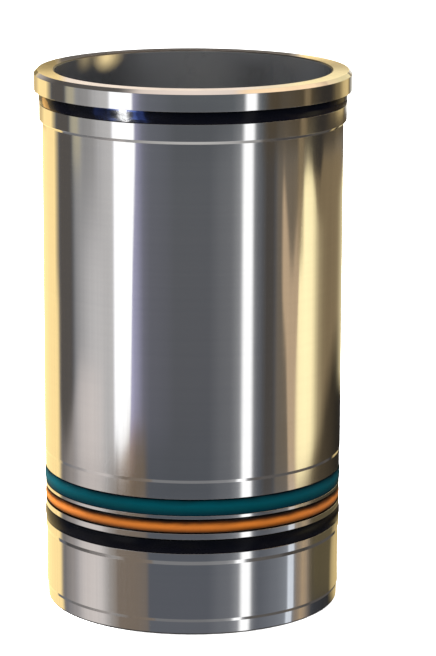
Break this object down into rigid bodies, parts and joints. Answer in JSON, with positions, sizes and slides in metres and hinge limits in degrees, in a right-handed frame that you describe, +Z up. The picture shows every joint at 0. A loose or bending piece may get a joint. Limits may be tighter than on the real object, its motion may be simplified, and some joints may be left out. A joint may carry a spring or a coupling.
{
  "type": "cylinder liner",
  "caption": "Upright wet cylinder liner: a honed bore with a collar on top, and coloured seals in grooves near the foot and under the collar.",
  "frame": {"origin": "centre of the foot, on the bore's axis", "axes": "+Z up along the bore towards the collar"},
  "size_m": [0.156, 0.156, 0.2665],
  "materials": {
    "machined_iron": "fine turned and ground, bright",
    "black_rubber": "smooth satin",
    "teal_rubber": "smooth satin",
    "orange_rubber": "smooth satin"
  },
  "bodies": {
    "root": {"liner": "machined_iron", "collar_seal": "black_rubber", "upper_seal_ring": "teal_rubber", "middle_seal_ring": "orange_rubber", "lower_seal_ring": "black_rubber"}
  },
  "joints": []
}
